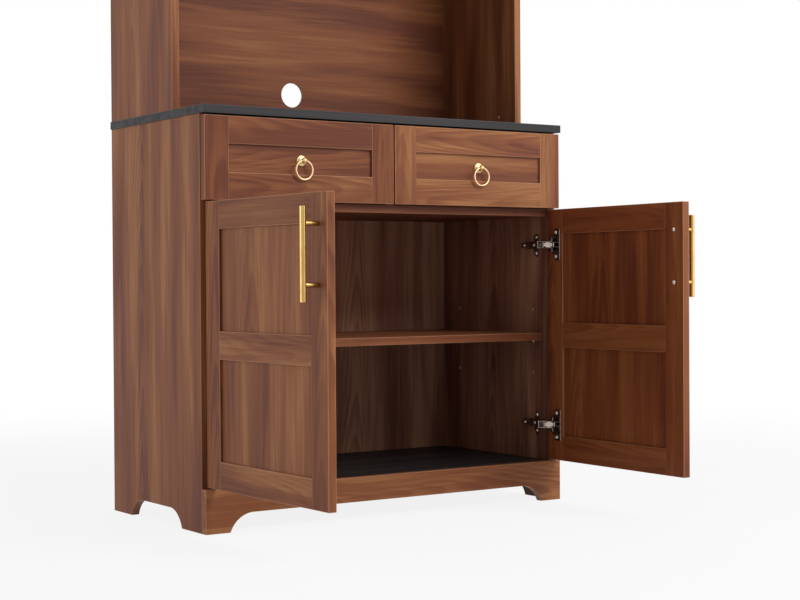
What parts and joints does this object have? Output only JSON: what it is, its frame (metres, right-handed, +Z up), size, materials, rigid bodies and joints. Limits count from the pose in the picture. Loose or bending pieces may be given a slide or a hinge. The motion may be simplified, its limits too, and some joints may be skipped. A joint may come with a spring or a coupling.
{
  "type": "tall buffet cabinet",
  "caption": "Tall walnut-look buffet cabinet: base cupboard with shaker doors and drawers under a black counter, and a shallower hutch with an open bay and an upper cupboard.",
  "frame": {"origin": "floor level, in the middle of the carcass's width and depth", "axes": "+Z up, -Y towards the front, +X to the right as seen from the front"},
  "size_m": [0.8348, 0.7706, 1.8],
  "materials": {
    "walnut": "satin walnut-grain foil on board",
    "black_laminate": "matte black laminate on board",
    "drawer_board": "satin walnut-grain foil on board",
    "brass": "polished",
    "hinge_steel": "nickel-plated",
    "hinge_dark": "dark nickel",
    "screw_steel": "zinc-plated",
    "runner_steel": "zinc-plated"
  },
  "bodies": {
    "carcass": {"base_left_side": "walnut", "base_right_side": "walnut", "front_apron": "walnut", "base_bottom_panel": "black_laminate", "base_back_panel": "walnut", "drawer_deck": "walnut", "drawer_partition": "walnut", "base_shelf": "walnut", "countertop": "black_laminate", "hutch_left_side": "walnut", "hutch_right_side": "walnut", "hutch_top_panel": "walnut", "cupboard_floor": "walnut", "cupboard_shelf": "walnut", "hutch_back_panel": "walnut", "shelf_pins": "screw_steel", "hinge_plates": "hinge_dark", "hinge_arms": "hinge_dark", "hinge_screws": "screw_steel", "runner_channels": "runner_steel"},
    "base_left_door": {"base_left_door_frame": "walnut", "base_left_door_panels": "walnut", "base_left_door_pull": "brass", "base_left_door_screws": "screw_steel", "base_left_door_hinge_cups": "hinge_dark"},
    "base_left_outer_links": {"base_left_door_outer_links": "hinge_steel"},
    "base_left_inner_links": {"base_left_door_inner_links": "hinge_steel"},
    "base_right_door": {"base_right_door_frame": "walnut", "base_right_door_panels": "walnut", "base_right_door_pull": "brass", "base_right_door_screws": "screw_steel", "base_right_door_hinge_cups": "hinge_dark"},
    "base_right_outer_links": {"base_right_door_outer_links": "hinge_steel"},
    "base_right_inner_links": {"base_right_door_inner_links": "hinge_steel"},
    "hutch_left_door": {"hutch_left_door_frame": "walnut", "hutch_left_door_panels": "walnut", "hutch_left_door_pull": "brass", "hutch_left_door_screws": "screw_steel", "hutch_left_door_hinge_cups": "hinge_dark"},
    "hutch_left_outer_links": {"hutch_left_door_outer_links": "hinge_steel"},
    "hutch_left_inner_links": {"hutch_left_door_inner_links": "hinge_steel"},
    "hutch_right_door": {"hutch_right_door_frame": "walnut", "hutch_right_door_panels": "walnut", "hutch_right_door_pull": "brass", "hutch_right_door_screws": "screw_steel", "hutch_right_door_hinge_cups": "hinge_dark"},
    "hutch_right_outer_links": {"hutch_right_door_outer_links": "hinge_steel"},
    "hutch_right_inner_links": {"hutch_right_door_inner_links": "hinge_steel"},
    "left_drawer": {"left_drawer_front_frame": "walnut", "left_drawer_front_panel": "walnut", "left_drawer_box": "drawer_board", "left_drawer_runners": "runner_steel", "left_drawer_ring_plate": "brass"},
    "left_drawer_ring_body": {"left_drawer_ring": "brass"},
    "right_drawer": {"right_drawer_front_frame": "walnut", "right_drawer_front_panel": "walnut", "right_drawer_box": "drawer_board", "right_drawer_runners": "runner_steel", "right_drawer_ring_plate": "brass"},
    "right_drawer_ring_body": {"right_drawer_ring": "brass"}
  },
  "joints": [
    {"name": "base_left_door_swing", "type": "hinge", "parent": "base_left_outer_links", "child": "base_left_door", "pos_m": [-0.37685, -0.20272, 0.33125], "axis": [0, 0, -1], "range_deg": [-120.42, 21.65]},
    {"name": "base_left_outer_link_turn", "type": "hinge", "parent": "carcass", "child": "base_left_outer_links", "pos_m": [-0.3565, -0.1829, 0.33125], "axis": [0, 0, -1], "range_deg": [-5.66, 31.43]},
    {"name": "base_left_inner_link_turn", "type": "hinge", "parent": "carcass", "child": "base_left_inner_links", "pos_m": [-0.361, -0.1946, 0.33125], "axis": [0, 0, -1], "range_deg": [-6.94, 38.55]},
    {"name": "base_right_door_swing", "type": "hinge", "parent": "base_right_outer_links", "child": "base_right_door", "pos_m": [0.37685, -0.20272, 0.33125], "axis": [0, 0, 1], "range_deg": [-120.42, 21.65]},
    {"name": "base_right_outer_link_turn", "type": "hinge", "parent": "carcass", "child": "base_right_outer_links", "pos_m": [0.3565, -0.1829, 0.33125], "axis": [0, 0, 1], "range_deg": [-5.66, 31.43]},
    {"name": "base_right_inner_link_turn", "type": "hinge", "parent": "carcass", "child": "base_right_inner_links", "pos_m": [0.361, -0.1946, 0.33125], "axis": [0, 0, 1], "range_deg": [-6.94, 38.55]},
    {"name": "hutch_left_door_swing", "type": "hinge", "parent": "hutch_left_outer_links", "child": "hutch_left_door", "pos_m": [-0.3842, -0.0832, 1.506], "axis": [0, 0, -1], "range_deg": [0, 142.06]},
    {"name": "hutch_left_outer_link_turn", "type": "hinge", "parent": "carcass", "child": "hutch_left_outer_links", "pos_m": [-0.3565, -0.0769, 1.506], "axis": [0, 0, -1], "range_deg": [-37.08, 0]},
    {"name": "hutch_left_inner_link_turn", "type": "hinge", "parent": "carcass", "child": "hutch_left_inner_links", "pos_m": [-0.361, -0.0886, 1.506], "axis": [0, 0, -1], "range_deg": [-45.48, 0]},
    {"name": "hutch_right_door_swing", "type": "hinge", "parent": "hutch_right_outer_links", "child": "hutch_right_door", "pos_m": [0.3842, -0.0832, 1.506], "axis": [0, 0, 1], "range_deg": [0, 142.06]},
    {"name": "hutch_right_outer_link_turn", "type": "hinge", "parent": "carcass", "child": "hutch_right_outer_links", "pos_m": [0.3565, -0.0769, 1.506], "axis": [0, 0, 1], "range_deg": [-37.08, 0]},
    {"name": "hutch_right_inner_link_turn", "type": "hinge", "parent": "carcass", "child": "hutch_right_inner_links", "pos_m": [0.361, -0.0886, 1.506], "axis": [0, 0, 1], "range_deg": [-45.48, 0]},
    {"name": "left_drawer_slide", "type": "slide", "parent": "carcass", "child": "left_drawer", "axis": [0, -1, 0], "range_m": [0, 0.24]},
    {"name": "left_ring_swing", "type": "hinge", "parent": "left_drawer", "child": "left_drawer_ring_body", "pos_m": [-0.199, -0.208, 0.658], "axis": [-1, 0, 0], "range_deg": [-4, 100]},
    {"name": "right_drawer_slide", "type": "slide", "parent": "carcass", "child": "right_drawer", "axis": [0, -1, 0], "range_m": [0, 0.24]},
    {"name": "right_ring_swing", "type": "hinge", "parent": "right_drawer", "child": "right_drawer_ring_body", "pos_m": [0.199, -0.208, 0.658], "axis": [-1, 0, 0], "range_deg": [-4, 100]}
  ],
  "couplings": [
    {"joint": "base_left_outer_link_turn", "follows": "base_left_door_swing", "ratio": -0.2609},
    {"joint": "base_left_inner_link_turn", "follows": "base_left_door_swing", "ratio": -0.32003},
    {"joint": "base_right_outer_link_turn", "follows": "base_right_door_swing", "ratio": -0.2609},
    {"joint": "base_right_inner_link_turn", "follows": "base_right_door_swing", "ratio": -0.32003},
    {"joint": "hutch_left_outer_link_turn", "follows": "hutch_left_door_swing", "ratio": -0.2609},
    {"joint": "hutch_left_inner_link_turn", "follows": "hutch_left_door_swing", "ratio": -0.32003},
    {"joint": "hutch_right_outer_link_turn", "follows": "hutch_right_door_swing", "ratio": -0.2609},
    {"joint": "hutch_right_inner_link_turn", "follows": "hutch_right_door_swing", "ratio": -0.32003}
  ]
}
